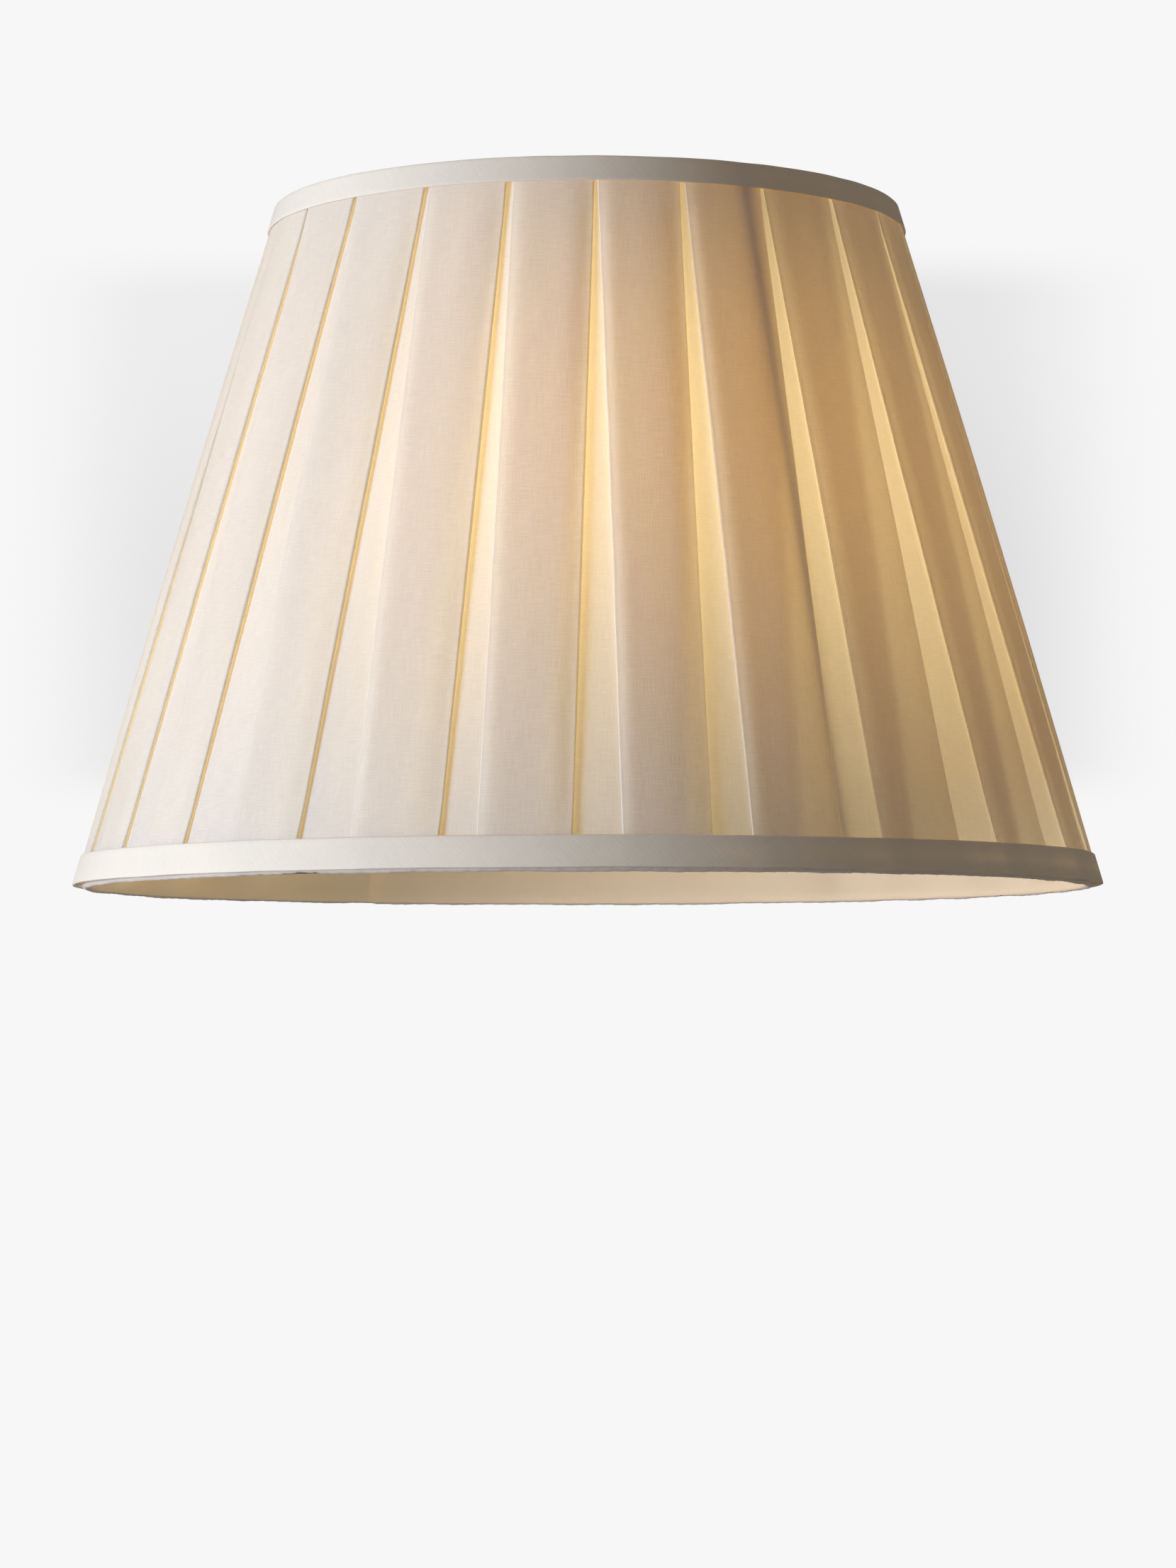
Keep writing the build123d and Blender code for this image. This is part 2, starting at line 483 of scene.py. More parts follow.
def fade(value: float) -> float:
    """The value, kept from 0 to 1."""
    return max(0.0, min(1.0, value))


@dataclass
class Layer:
    """How the layers folded under one side of a pleat dim the lamp that shines through it.

    They run in from the pleat's outer fold for their reach. Their packing grows behind the fold's
    crest, thins deep under the pleat, and fades softly at their inner edge. Lengths are in metres.
    """

    reach: float
    soft: float
    crest: float = 0.9 * MM
    deep_from: float = 6 * MM
    deep_over: float = 8 * MM
    most: float = 0.48
    thinning: float = 0.10

    def packing(self, inward: float) -> float:
        """The packing this far in from the pleat's outer fold, in metres."""
        start = fade(inward / self.crest)
        tail = fade((self.reach - inward) / self.soft)
        deep = fade((inward - self.deep_from) / self.deep_over)
        return start * tail * tail * (3 - 2 * tail) * (self.most - self.thinning * deep)


def flat_run(
    start: tuple[float, float],
    end: tuple[float, float],
    fine_start: bool,
    packing: Callable[[float], float],
) -> ClothLine:
    """Lays a flat hidden stretch of cloth, without its last point.

    Args:
        start: Its first point's length round the wall and depth, in metres.
        end: Its last point's.
        fine_start: Whether the steps are finer at its start, not at its end.
        packing: Gives the packing at a length round the wall.

    Returns:
        Each point's length round the wall, its depth, and its packing.
    """
    steps, spread = 9, 1.7
    line = []
    for i in range(steps):
        t = (i / steps) ** spread if fine_start else 1 - (1 - i / steps) ** spread
        s = start[0] + (end[0] - start[0]) * t
        line.append((s, start[1] + (end[1] - start[1]) * t, packing(s)))
    return line


def half_turn(
    s: float, d0: float, d1: float, way: int, steps: int, packing: Callable[[float], float]
) -> ClothLine:
    """Folds the cloth back on itself, without its last point.

    Args:
        s: The length round the wall at which the fold starts and ends, in metres.
        d0: The depth at which it starts, in metres.
        d1: The depth at which it ends, in metres.
        way: 1 where its crest points towards larger lengths, -1 where it points back.
        steps: The number of its faces.
        packing: Gives the packing at a length round the wall.

    Returns:
        Each point's length round the wall, its depth, and its packing.
    """
    mean, half = (d0 + d1) / 2, (d1 - d0) / 2
    turn = [math.pi * i / steps for i in range(steps)]
    reach = way * abs(half)
    return [(s + reach * math.sin(t), mean - half * math.cos(t), packing(s)) for t in turn]


def open_run(
    start: tuple[float, float], end: tuple[float, float]
) -> ClothLine:
    """Lays the open cloth of half a gap, without its last point.

    Args:
        start: Its first point's length round the wall and depth, in metres.
        end: Its last point's.

    Returns:
        Each point's length round the wall, its depth, and its packing.
    """
    (s0, d0), (s1, d1) = start, end
    steps = 4
    return [(s0 + (s1 - s0) * i / steps, d0 + (d1 - d0) * i / steps, 1.0) for i in range(steps)]


@dataclass
class PleatedCover:
    """The box-pleated cover: one strip of silk, folded under itself between each pair of gaps.

    Gaps and shifts are in millimetres, one for each gap, from the front gap towards the right, and
    so are the sway of a gap's edges and its narrowest width. Other lengths are in metres. Under
    each side of a pleat's face lie its return and, deeper, its base, which runs on as the gap.
    """

    wall: ConeWall
    finish: ClothFinish = COVER_SILK
    first_gap: float = 1.5
    cloth_per_pleat: float = 158 * MM
    puff: float = 1.0 * MM
    rows: int = 44
    face: float = 1.22 * MM
    left_return: float = 2.25 * MM
    left_base: float = 2.55 * MM
    right_return: float = 2.85 * MM
    right_base: float = 3.2 * MM
    face_margin: float = 0.8 * MM
    left_soft: float = 2.5 * MM
    right_soft: float = 4.5 * MM
    sway: float = 0.35
    waver: float = 0.08 * MM
    kink: float = 0.12 * MM
    narrowest: float = 0.3
    sewn: float = 14 * MM
    seed: int = 24
    foot_gaps: tuple[float, ...] = (18, 15, 17.5, 22.5, 22.5, 12, 16, 18, 17.5, 16, 19, 17,
                                    18, 16.5, 17, 19, 16, 17.5, 18, 20, 22, 26, 23, 14)
    head_gaps: tuple[float, ...] = (0.3, 1.2, 1, 1.6, 0.4, 0.4, 1, 0.8, 1.5, 1, 0.6, 1.2,
                                    1, 1.6, 0.8, 1.2, 1, 0.7, 1.4, 0.4, 0.6, 0.9, 1.3, 1.9)
    foot_shifts: tuple[float, ...] = (-1.7, -4.7, -5.2, 0.2, 7, 4, 0, -1, 1.5, 0.5, -1, 0,
                                      1, -1.5, 0, 1, 2, 0, -1, -1, -3, -6, -0.7, 0)
    head_shifts: tuple[float, ...] = (0.3, 0.3, 0.8, 3, 4.6, 2, 0, 0.5, -0.5, 0, 0.4, 0,
                                      -0.4, 0.3, 0, 0.5, 0, -0.3, 0, 0, -0.6, -1.8, 0, 0.7)

    def __post_init__(self) -> None:
        """Takes the cover's height from the frame and draws each pleat's small differences."""
        low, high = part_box("pleated_cover")
        self.low, self.high = low.z, high.z
        draw = random.Random(self.seed)
        self.draws = [[draw.uniform(-1, 1) for _ in range(6)] for _ in self.foot_gaps]

    def gap(self, index: int, z: float) -> tuple[float, float]:
        """Finds a gap's two edges at a height.

        Args:
            index: The gap's number. It may run past the last one, once round.
            z: The height in metres.

        Returns:
            The left and right edge as lengths round the wall, in metres.
        """
        count = len(self.foot_gaps)
        k, share = index % count, (z - self.low) / (self.high - self.low)
        radius = self.wall.radius(z, self.face)
        centre = math.radians(self.first_gap + 360 / count * index) * radius
        shift = self.foot_shifts[k] + (self.head_shifts[k] - self.foot_shifts[k]) * share
        width = self.foot_gaps[k] + (self.head_gaps[k] - self.foot_gaps[k]) * share
        width = max(self.narrowest, width)
        bow = math.sin(math.pi * share)
        left = centre + (shift - width / 2 + self.sway * bow * self.draws[k][0]) * MM
        right = centre + (shift + width / 2 + self.sway * bow * self.draws[k][1]) * MM
        waver = self.waver * noise.noise(Vector((k * 7.3, z * 42, 1.7)))
        kink = self.kink * noise.noise(Vector((k * 5.1, z * 60, 8.2)))
        return left + waver, right + kink

    def ripple(self, k: int, across: float, z: float) -> float:
        """How far a pleat's face dips below its highest line.

        Args:
            k: The pleat's number.
            across: The place across the face, from 0 at its left fold to 1 at its right.
            z: The height in metres.

        Returns:
            The dip in metres.
        """
        left_dip, left_width, right_dip, right_width = 0.5, 0.06, 0.7, 0.15
        broad_dip, fine_dip, sewn_share = 0.18, 0.07, 0.3
        left_roll = left_dip * math.exp(-((across / left_width) ** 2))
        roll = left_roll + right_dip * math.exp(-(((1 - across) / right_width) ** 2))
        phase = self.draws[k][2] * 9
        wave = noise.noise(Vector((across * 3.1 + phase, z * 9.0, k * 3.7)))
        fine = noise.noise(Vector((across * 8.0 + phase, z * 22.0, k * 2.3 + 40)))
        end = min(z - self.low, self.high - z) / self.sewn
        free = sewn_share + (1 - sewn_share) * fade(end - 0.6)
        return (roll + broad_dip * (1 + wave) + fine_dip * fine) * free * MM

    def pleat_line(self, k: int, z: float) -> ClothLine:
        """Follows the strip from the middle of one gap to the middle of the next.

        Args:
            k: The pleat's number, which is that of the gap on its left.
            z: The height in metres.

        Returns:
            Each column's length round the wall, its depth, and its packing.
        """
        gap_left, a = self.gap(k, z)
        b, gap_right = self.gap(k + 1, z)
        start, end = (gap_left + a) / 2, (b + gap_right) / 2
        right_under = (b - a) - self.face_margin
        left_under = min((self.cloth_per_pleat - (end - start)) / 2 - right_under, right_under)
        mid_gap = (self.left_base + self.right_base) / 2
        left, right = Layer(left_under, self.left_soft), Layer(right_under, self.right_soft)
        crest_steps, under_steps, face_steps = 6, 3, 22

        def from_left(s: float) -> float:
            """The packing of the layers under the pleat's left side."""
            return left.packing(s - a)

        def from_right(s: float) -> float:
            """The packing of the layers under the pleat's right side."""
            return right.packing(b - s)

        def shown(_: float) -> float:
            """The packing of cloth that shows."""
            return 1.0

        share = (z - self.low) / (self.high - self.low)
        top = self.face - self.puff * math.sin(math.pi * share) ** 0.7
        pleat = k % len(self.foot_gaps)
        face_in = top + self.ripple(pleat, 0.0, z)
        face_out = top + self.ripple(pleat, 1.0, z)
        face_from = a + (self.left_return - face_in) / 2
        face_to = b - (self.right_return - face_out) / 2
        left_in, right_in = a + left_under, b - right_under
        face = []
        for i in range(face_steps):
            t = 0.5 - 0.5 * math.cos(math.pi * i / face_steps)
            dip = top + self.ripple(pleat, t, z)
            face.append((face_from + (face_to - face_from) * t, dip, 1.0))
        return (
            open_run((start, mid_gap), (a, self.left_base))
            + flat_run((a, self.left_base), (left_in, self.left_base), True, from_left)
            + half_turn(left_in, self.left_base, self.left_return, 1, under_steps, from_left)
            + flat_run((left_in, self.left_return), (face_from, self.left_return), False, from_left)
            + half_turn(face_from, self.left_return, face_in, -1, crest_steps, shown)
            + face
            + half_turn(face_to, face_out, self.right_return, 1, crest_steps, shown)
            + flat_run(
                (face_to, self.right_return), (right_in, self.right_return), True, from_right)
            + half_turn(right_in, self.right_return, self.right_base, -1, under_steps, from_right)
            + flat_run((right_in, self.right_base), (b, self.right_base), False, from_right)
            + open_run((b, self.right_base), (end, mid_gap))
        )

    def build(self) -> bpy.types.Object:
        """Folds the strip round the wall and closes it.

        Returns:
            The cover.
        """
        count = len(self.foot_gaps)
        heights = [self.low + (self.high - self.low) * r / self.rows for r in range(self.rows + 1)]
        lines = []
        for z in heights:
            line = [p for k in range(count) for p in self.pleat_line(k, z)]
            turn = 2 * math.pi * self.wall.radius(z, self.face)
            line.append((line[0][0] + turn, *line[0][1:]))
            lines.append(line)
        columns = len(lines[0]) - 1
        strip = [0.0]
        for (s0, d0, _), (s1, d1, _) in zip(lines[0], lines[0][1:]):
            strip.append(strip[-1] + math.hypot(s1 - s0, d1 - d0))

        def lay(column: int, row: int) -> ClothPoint:
            """A column's point at a row, with the cloth's own length and height there."""
            z = heights[row]
            s, depth, packing = lines[row][column]
            angle = s / self.wall.radius(z, self.face)
            up = z / math.cos(self.wall.slope)
            return ClothPoint(self.wall.point(angle, z, depth), strip[column], up, packing)

        bm = mapped_grid(columns, self.rows, lay)
        bmesh.ops.remove_doubles(bm, verts=bm.verts[:], dist=WELD)
        cover = finish_piece(bm, "cover", self.finish, SHADE_BODY, ["pleated_cover"],
                             away_from_axis)
        return cover


@dataclass
class TrimBand:
    """A self-fabric band round a rim: a bias strip with both long edges turned under.

    Its ends lap at an angle in degrees from the front towards the right. Face and under are the
    depths of its face and of its turned edges. Lengths are in metres.
    """

    wall: ConeWall
    node: str
    laps_at: float
    finish: ClothFinish = TRIM_SILK
    turned_under: float = 4.5 * MM
    lap: float = 9 * MM
    face: float = 0.06 * MM
    under: float = 1.2 * MM
    column: float = 2.2 * MM
    waver: float = 0.16 * MM
    puff: float = 0.10 * MM
    climb: float = 0.55 * MM
    seed: int = 5

    def profile(self) -> list[tuple[float, float]]:
        """The band's section from its lower hem over its face to its upper hem.

        Returns:
            Each point's height up the wall and its depth, in metres.
        """
        low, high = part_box(self.node)
        lean = math.cos(self.wall.slope)
        foot, head = low.z / lean, high.z / lean
        r = (self.under - self.face) / 2
        mean = (self.under + self.face) / 2
        hem_steps, face_steps = 6, 8
        hem = [math.pi * i / hem_steps for i in range(hem_steps + 1)]
        points = [(foot + self.turned_under, self.under), (foot + r * 2, self.under)]
        points += [(foot + r - r * math.sin(t), mean + r * math.cos(t)) for t in hem]
        for i in range(1, face_steps):
            points.append((foot + r + (head - foot - 2 * r) * i / face_steps, self.face))
        points += [(head - r + r * math.sin(t), mean - r * math.cos(t)) for t in hem]
        return points + [(head - r * 2, self.under), (head - self.turned_under, self.under)]

    def build(self) -> bpy.types.Object:
        """Lays the band round its rim with its short ends lapped.

        Returns:
            The band.
        """
        section = self.profile()
        low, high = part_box(self.node)
        mean_radius = self.wall.radius((low.z + high.z) / 2)
        length = 2 * math.pi * mean_radius + self.lap
        columns = round(length / self.column)
        start = math.radians(self.laps_at)
        lean = math.cos(self.wall.slope)
        bias = math.sqrt(0.5)
        girth = [0.0]
        for (h0, d0), (h1, d1) in zip(section, section[1:]):
            girth.append(girth[-1] + math.hypot(h1 - h0, d1 - d0))

        def lay(column: int, row: int) -> ClothPoint:
            """A point of the band, a little uneven along its edges, rising over its own end."""
            along = length * column / columns
            height, depth = section[row]
            angle = start + along / mean_radius
            near = Vector((math.sin(angle), math.cos(angle), 0.0))
            waver = self.waver * noise.noise(near * 9 + Vector((self.seed, row * 0.05, 0)))
            puff = self.puff * noise.noise(near * 22 + Vector((0, self.seed, height * 140)))
            climb = self.climb * fade(1.6 - (length - along) / self.lap)
            point = self.wall.point(angle, (height + waver) * lean, depth + max(puff, 0.0) - climb)
            return ClothPoint(point, (along + girth[row]) * bias, (girth[row] - along) * bias)

        bm = mapped_grid(columns, len(section) - 1, lay)
        band = finish_piece(bm, self.node + "_band", self.finish, SHADE_BODY, [self.node],
                            away_from_axis)
        return band


@dataclass
class LinerPanel:
    """Half of the liner: smooth cloth stretched inside the frame, lapped at the taped struts.

    It starts at an angle in degrees from the front towards the right. Its edges lift off its own
    face, inwards on the panel that lies on top, and its laps pack denser. Lengths are in metres.
    """

    wall: ConeWall
    node: str
    start: float
    on_top: bool
    finish: ClothFinish = LINER_CLOTH
    depth: float = 7.7 * MM
    lap: float = 4 * MM
    lift: float = 0.35 * MM
    lift_run: float = 5 * MM
    pull: float = 0.5 * MM
    packing: float = 0.25
    lap_packing: float = 0.38
    columns: int = 150
    rows: int = 40

    def build(self) -> bpy.types.Object:
        """Stretches the panel round half the frame.

        Returns:
            The panel.
        """
        low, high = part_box(self.node)
        lean = math.cos(self.wall.slope)
        side = 1 if self.on_top else -1

        def lay(column: int, row: int) -> ClothPoint:
            """A point of the panel, drawn very slightly uneven, with its lapped edges raised."""
            z = low.z + (high.z - low.z) * row / self.rows
            radius = self.wall.radius(z, self.depth)
            arc = math.pi * radius + 2 * self.lap
            along = arc * column / self.columns
            angle = math.radians(self.start) + (along - self.lap) / radius
            edge = min(along, arc - along)
            lift = self.lift * max(0.0, 1 - edge / (2 * self.lap + self.lift_run)) * side
            near = Vector((math.sin(angle) * 5, math.cos(angle) * 5, z * 6))
            point = self.wall.point(angle, z, self.depth + lift + self.pull * noise.noise(near))
            packing = self.packing + self.lap_packing * max(0.0, 1 - edge / (3 * self.lap))
            return ClothPoint(point, along - arc / 2, z / lean, packing)

        bm = mapped_grid(self.columns, self.rows, lay)
        panel = finish_piece(bm, self.node + "_cloth", self.finish, SHADE_BODY, [self.node],
                             lambda p: -away_from_axis(p))
        outer = self.wall.radius(low.z, self.depth) / math.sin(self.wall.slope)
        mean = self.wall.radius((low.z + high.z) / 2, self.depth)
        return panel


@dataclass
class WoundTape:
    """Cotton tape wound round a wire, each turn lapping the last. Lengths are in metres.

    centre and across give the wire's centre, and the ways out and up there, at a share of the run.
    A turn climbs the lap step over its rise and drops over its fall, which are shares of a turn.
    """

    name: str
    node: str
    centre: Callable[[float], Vector]
    across: Callable[[float], tuple[Vector, Vector]]
    length: float
    radius: float
    finish: ClothFinish = COTTON_TAPE
    pitch: float = 6.5 * MM
    lap_step: float = 0.22 * MM
    rise: float = 0.85
    fall: float = 0.15
    sag: float = 0.0
    column: float = 0.9 * MM
    around: int = 14
    seed: int = 3

    def build(self) -> bpy.types.Object:
        """Winds the tape from one end of its run to the other.

        Returns:
            The wound tape.
        """
        columns = round(self.length / self.column)

        def lay(column: int, row: int) -> ClothPoint:
            """A point of the winding, higher where a turn lies over the last."""
            share = column / columns
            along, turn = share * self.length, row / self.around
            side, up = self.across(share)
            drift = 0.8 * noise.noise(Vector((along * 60, self.seed, 0)))
            phase = (along / self.pitch + turn + drift) % 1.0
            step = phase if phase < self.rise else (1 - phase) / self.fall * self.rise
            slack = self.sag * noise.noise(Vector((along * 55, self.seed * 3.1, 2)))
            r = self.radius - self.lap_step + self.lap_step * step
            a = 2 * math.pi * turn
            below = max(0.0, -math.cos(a))
            point = (
                self.centre(share)
                + side * (r * math.sin(a))
                + up * (r * math.cos(a) - below * slack)
            )
            return ClothPoint(point, along, 2 * math.pi * self.radius * turn)

        bm = mapped_grid(columns, self.around, lay)
        bmesh.ops.remove_doubles(bm, verts=bm.verts[:], dist=WELD)
        ends = [e for e in bm.edges if e.is_boundary]
        bmesh.ops.holes_fill(bm, edges=ends, sides=self.around + 2)
        bmesh.ops.recalc_face_normals(bm, faces=bm.faces[:])
        return finish_piece(bm, self.name, self.finish, SHADE_BODY, [self.node])


def ring_tape(node: str, start: float, sweep: float, sag: float, seed: int) -> WoundTape:
    """Winds tape round part of a rim wire.

    Args:
        node: The CAD node of that run of tape.
        start: Where the run starts, in degrees from the front towards the right.
        sweep: How far round it goes, in degrees.
        sag: How far its lower side wavers, in metres.
        seed: Picks the winding's own unevenness.

    Returns:
        The winding, not yet built.
    """
    wire = "lower_ring" if node.startswith("lower") else "upper_ring"
    (_, _, low), (reach, _, high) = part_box(wire)
    wire_radius = (high - low) / 2
    ring_radius, height = reach - wire_radius, (high + low) / 2
    tape_radius = (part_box(node)[1].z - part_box(node)[0].z) / 2

    def centre(share: float) -> Vector:
        """The wire's centre at a share of the run."""
        a = math.radians(start + sweep * share)
        return Vector((ring_radius * math.sin(a), -ring_radius * math.cos(a), height))

    def across(share: float) -> tuple[Vector, Vector]:
        """The way out and the way up at a share of the run."""
        a = math.radians(start + sweep * share)
        return Vector((math.sin(a), -math.cos(a), 0.0)), Vector((0.0, 0.0, 1.0))

    return WoundTape(
        name=node + "_winding",
        node=node,
        centre=centre,
        across=across,
        length=math.radians(abs(sweep)) * ring_radius,
        radius=tape_radius,
        sag=sag,
        seed=seed,
    )


def strut_tape(wall: ConeWall, node: str, angle: float, seed: int) -> WoundTape:
    """Winds tape up a strut that carries a liner seam.

    Args:
        wall: The shade's wall.
        node: The CAD node of that tape.
        angle: The strut's angle in degrees from the front towards the right.
        seed: Picks the winding's own unevenness.

    Returns:
        The winding, not yet built.
    """
    a = math.radians(angle)
    low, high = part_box(node)
    wire_depth, end_gap, tape_radius = 5.3 * MM, 0.3 * MM, 1.7 * MM
    foot = wall.point(a, low.z + end_gap, wire_depth)
    head = wall.point(a, high.z - end_gap, wire_depth)
    along = (head - foot).normalized()
    side = Vector((math.cos(a), math.sin(a), 0.0))
    return WoundTape(
        name=node + "_winding",
        node=node,
        centre=lambda share: foot.lerp(head, share),
        across=lambda share: (side, along.cross(side)),
        length=(head - foot).length,
        radius=tape_radius,
        seed=seed,
    )


@dataclass
class MetalWork:
    """The wire frame and the gimbal fitter, which keep their CAD shapes and take real finishes."""

    finishes: dict[str, HardFinish] = field(
        default_factory=lambda: {
            "lower_ring": FRAME_WIRE,
            "upper_ring": FRAME_WIRE,
            "strut": FRAME_WIRE,
            "gimbal": GIMBAL_STEEL,
            "fitter_ring": GIMBAL_STEEL,
            "pivot_rivet": RIVET_STEEL,
            "reducer_ring": REDUCER_PLASTIC,
        }
    )

    def dress(self) -> None:
        """Puts the finishes on every CAD node that still shows."""
        for name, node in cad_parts.items():
            if node.hide_render:
                continue
            finish = next(f for stem, f in self.finishes.items() if name.startswith(stem))
            if not node.data.materials:
                node.data.materials.append(None)
            for i in range(len(node.material_slots)):
                node.material_slots[i].material = finish_material(finish)
            log.info("%s: CAD shape, %s", name, finish.name)

    def unshadowed_nodes(self) -> list[bpy.types.Object]:
        """The fitter, with its lugs and rivets, and the struts: metal the lamp shines past."""
        stems = ("gimbal", "fitter_ring", "pivot_rivet", "reducer_ring", "strut")
        return [n for name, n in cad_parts.items() if name.startswith(stems)]


@dataclass
class Studio:
    """A plain pale studio: backdrop, floor, a soft key light, and the lamp in the shade.

    Lengths are in metres, powers in watts. Azimuths are in degrees from the front towards the
    right. The two painted-shadow curves give places on the backdrop and the depth of the shadow
    painted there.
    """

    pale: float = 0.93
    ambient: Colour = (0.20, 0.172, 0.135)
    key_colour: Colour = (0.93, 0.96, 1.0)
    key_power: float = 52.0
    key_size: float = 1.1
    key_azimuth: float = -65
    key_distance: float = 2.2
    key_height: float = 0.1
    key_target: float = 0.12
    lamp_colour: Colour = (1.0, 0.74, 0.40)
    lamp_place: tuple[float, float] = (0.0, -0.04)
    lamp_heights: tuple[float, float] = (0.185, 0.075)
    lamp_powers: tuple[float, float] = (0.11, 0.25)
    bulb_radius: float = 0.04
    beam_power: float = 0.116
    beam_size: tuple[float, float] = (0.08, 0.15)
    beam_azimuth: float = 40
    floor_size: float = 12.0
    floor_drop: float = -2.9
    backdrop_size: float = 5.6
    backdrop_distance: float = 4.0
    lens: float = 109.86
    sensor: float = 36.0
    camera_place: tuple[float, float, float] = (0.0, -1.86, -0.062)
    camera_pitch: float = 93.18
    camera_roll: float = 0.1
    camera_reach: tuple[float, float] = (0.05, 60.0)
    # The painted shadow on the backdrop, across the wall and up it.
    shadow_across: tuple[tuple[float, float], ...] = (
        (-0.73, 0.0), (-0.50, 0.155), (-0.2, 0.17), (0.3, 0.32), (0.435, 0.254), (0.73, 0.0))
    shadow_upward: tuple[tuple[float, float], ...] = (
        (0.225, 0.0), (0.30, 1.0), (0.45, 1.0), (0.86, 0.62), (0.935, 0.0))

    def build(self, unshadowed: Sequence[bpy.types.Object]) -> None:
        """Sets up the whole studio.

        Args:
            unshadowed: The metalwork that throws no shadow from the lamp.
        """
        self.sky()
        self.floor()
        self.backdrop()
        self.key_light()
        self.lamp(unshadowed)
        self.camera()

    def sky(self) -> None:
        """A pale surround for the camera and an even light for everything else."""
        tree = NodeTree(bpy.data.worlds.new("studio_surround"), "ShaderNodeOutputWorld")
        seen = tree.add("ShaderNodeBackground", {"Color": (*(self.pale,) * 3, 1)})
        light = tree.add("ShaderNodeBackground", {"Color": (*self.ambient, 1)})
        mix = tree.add("ShaderNodeMixShader", {
            "Fac": tree.add("ShaderNodeLightPath").outputs["Is Camera Ray"],
            1: light.outputs["Background"],
            2: seen.outputs["Background"],
        })
        bpy.context.scene.world = tree.surface(mix.outputs["Shader"])

    def stage_plane(
        self, name: str, size: float
    ) -> tuple[bpy.types.Object, NodeTree, bpy.types.Node]:
        """Makes a large flat stage piece with a plain pale glow that only the camera sees.

        Args:
            name: The piece's name.
            size: Its side in metres.

        Returns:
            The piece, its material's tree, and the emission node in it.
        """
        bm = bmesh.new()
        bmesh.ops.create_grid(bm, x_segments=1, y_segments=1, size=size / 2)
        mesh = bpy.data.meshes.new(name)
        bm.to_mesh(mesh)
        bm.free()
        piece = bpy.data.objects.new(name, mesh)
        bpy.context.scene.collection.objects.link(piece)
        tree = NodeTree(bpy.data.materials.new(name))
        glow = tree.add("ShaderNodeEmission", {"Color": (*(self.pale,) * 3, 1)})
        mesh.materials.append(tree.surface(glow.outputs["Emission"]))
        for ray in ("diffuse", "glossy", "transmission", "shadow"):
            setattr(piece, "visible_" + ray, False)
        return piece, tree, glow

    def floor(self) -> None:
        """A pale floor, far enough down for the shade to be seen from below."""
        piece, _, _ = self.stage_plane("studio_floor", self.floor_size)
        piece.location = (0, 0, self.floor_drop)

    def backdrop(self) -> None:
        """A pale wall behind the shade, painted with the soft shadow a hung lampshade casts."""
        piece, tree, glow = self.stage_plane("studio_backdrop", self.backdrop_size)
        piece.rotation_euler = (math.pi / 2, 0, 0)
        piece.location = (0, self.backdrop_distance, 0)
        place = tree.add("ShaderNodeSeparateXYZ", {
            "Vector": tree.add("ShaderNodeTexCoord").outputs["Object"]})
        across = self.ramp(tree, place.outputs["X"], 0.75, self.shadow_across)
        upward = self.ramp(tree, place.outputs["Y"], 1.0, self.shadow_upward)
        # Painted shadow: its depth across the wall times its depth up it darkens the pale glow.
        shadow = tree.math("MULTIPLY", across, upward)
        tree.link(tree.mix_colour(shadow, (self.pale,) * 3, BLACK), glow.inputs["Color"])

    def ramp(
        self,
        tree: NodeTree,
        length: bpy.types.NodeSocket,
        reach: float,
        stops: Sequence[tuple[float, float]],
    ) -> bpy.types.NodeSocket:
        """Adds a smooth curve through a few given values along a length.

        Args:
            tree: The material's tree.
            length: The length to read, in metres.
            reach: The curve runs from minus this length to plus it.
            stops: Each place along it, in metres, and the value there.

        Returns:
            The curve's value.
        """
        span = tree.add("ShaderNodeMapRange", {
            "Value": length, "From Min": -reach, "From Max": reach})
        curve = tree.add("ShaderNodeValToRGB", {"Fac": span.outputs["Result"]})
        curve.color_ramp.interpolation = "EASE"
        elements = curve.color_ramp.elements
        elements.remove(elements[1])
        elements[0].position = 0.0
        elements[0].color = (*(stops[0][1],) * 3, 1.0)
        for place, value in stops:
            elements.new((place + reach) / (2 * reach)).color = (*(value,) * 3, 1.0)
        return curve.outputs["Color"]

    def add_light(self, data: bpy.types.Light, place: Vector, target: Vector) -> bpy.types.Object:
        """Puts a light in the scene.

        Args:
            data: The light.
            place: Where it stands.
            target: What it points at.

        Returns:
            The light's object.
        """
        light = bpy.data.objects.new(data.name, data)
        bpy.context.scene.collection.objects.link(light)
        light.location = place
        light.rotation_mode = "QUATERNION"
        light.rotation_quaternion = (target - place).to_track_quat("-Z", "Y")
        light.visible_camera = False
        return light

    def key_light(self) -> None:
        """A large soft light from the left."""
        key = bpy.data.lights.new("key", "AREA")
        key.shape, key.size = "DISK", self.key_size
        key.energy, key.color = self.key_power, self.key_colour
        angle, distance = math.radians(self.key_azimuth), self.key_distance
        place = Vector((distance * math.sin(angle), -distance * math.cos(angle), self.key_height))
        self.add_light(key, place, Vector((0, 0, self.key_target)))

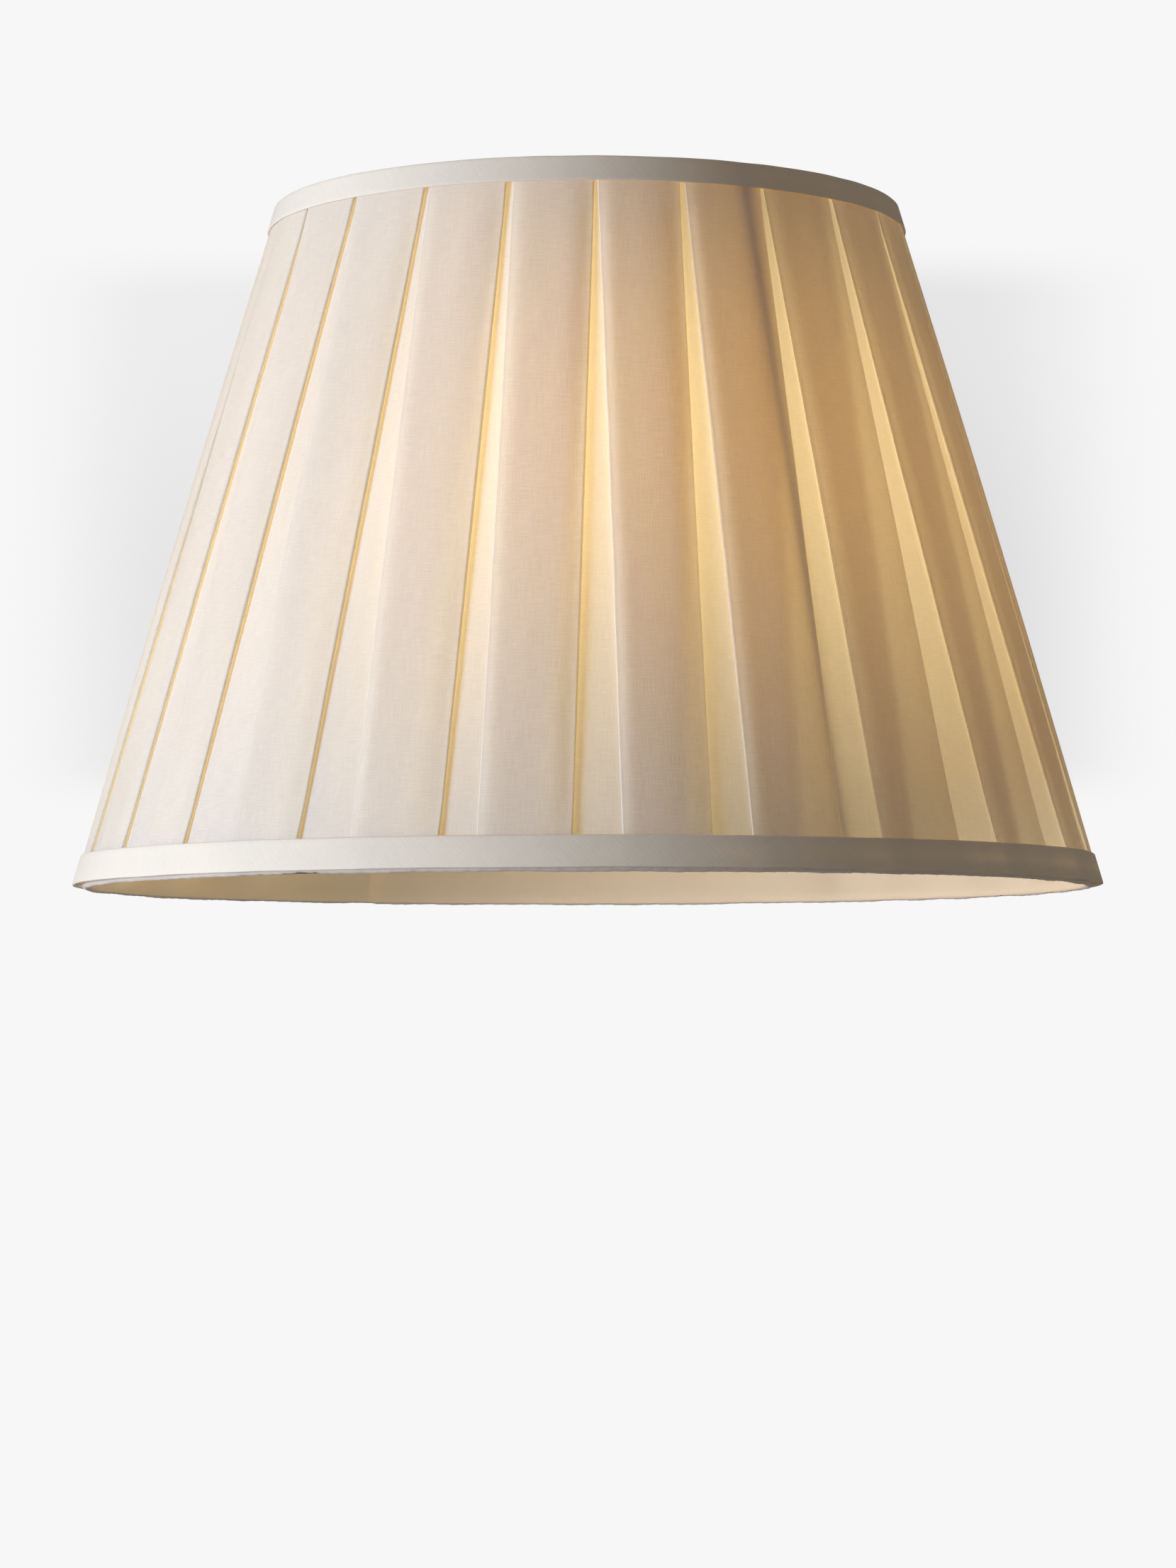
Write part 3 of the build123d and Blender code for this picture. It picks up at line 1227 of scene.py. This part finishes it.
    def lamp(self, unshadowed: Sequence[bpy.types.Object]) -> None:
        """The warm lamp inside the shade, which is brighter towards the front right.

        Args:
            unshadowed: The metalwork that doesn't block it.
        """
        blockers = bpy.data.collections.new("bulb_unblocked_by")
        for metal in unshadowed:
            blockers.objects.link(metal)
        for entry in blockers.collection_objects:
            entry.light_linking.link_state = "EXCLUDE"
        for height, power in zip(self.lamp_heights, self.lamp_powers):
            bulb = bpy.data.lights.new("bulb", "POINT")
            bulb.energy, bulb.color = power, self.lamp_colour
            bulb.shadow_soft_size = self.bulb_radius
            place = Vector((*self.lamp_place, height))
            lamp = self.add_light(bulb, place, place - Vector((0, 0, 1)))
            lamp.light_linking.blocker_collection = blockers
        beam = bpy.data.lights.new("bulb_beam", "AREA")
        beam.shape = "ELLIPSE"
        beam.size, beam.size_y = self.beam_size
        beam.energy, beam.color = self.beam_power, self.lamp_colour
        place = Vector((*self.lamp_place, sum(self.lamp_heights) / 2))
        angle = math.radians(self.beam_azimuth)
        lamp = self.add_light(beam, place, place + Vector((math.sin(angle), -math.cos(angle), 0)))
        lamp.light_linking.blocker_collection = blockers

    def camera(self) -> None:
        """A long lens from a little below the rim."""
        data = bpy.data.cameras.new("camera")
        data.lens, data.sensor_width = self.lens, self.sensor
        data.clip_start, data.clip_end = self.camera_reach
        camera = bpy.data.objects.new("camera", data)
        bpy.context.scene.collection.objects.link(camera)
        camera.location = self.camera_place
        turn = (math.radians(self.camera_pitch), math.radians(self.camera_roll), 0.0)
        camera.rotation_euler = turn
        bpy.context.scene.camera = camera


def main() -> None:
    """Builds the shade's sub-assemblies in order, then the studio."""
    logging.basicConfig(level=logging.INFO, format="%(name)s: %(message)s")
    bpy.context.scene.view_settings.view_transform = "Standard"
    wall = ConeWall.from_frame()
    front_seam, rear_seam = 28.0, 208.0
    lug_end, between_lugs = 4, 172
    loose, tight = 0.5 * MM, 0.1 * MM
    PleatedCover(wall).build()
    TrimBand(wall, "lower_trim", laps_at=rear_seam, seed=5).build()
    TrimBand(wall, "upper_trim", laps_at=rear_seam, seed=11).build()
    LinerPanel(wall, "liner_panel_right", start=front_seam, on_top=True).build()
    LinerPanel(
        wall, "liner_panel_left", start=rear_seam, on_top=False, finish=LINER_CLOTH_DARKER
    ).build()
    ring_tape("lower_ring_tape_right", front_seam, 180, loose, 3).build()
    ring_tape("lower_ring_tape_left", rear_seam, 180, loose, 4).build()
    ring_tape("upper_ring_tape_right", lug_end, between_lugs, tight, 6).build()
    ring_tape("upper_ring_tape_left", 180 + lug_end, between_lugs, tight, 7).build()
    strut_tape(wall, "seam_strut_tape_front", front_seam, 8).build()
    strut_tape(wall, "seam_strut_tape_rear", rear_seam, 9).build()
    metal = MetalWork()
    metal.dress()
    Studio().build(metal.unshadowed_nodes())


if __name__ == "__main__":
    main()
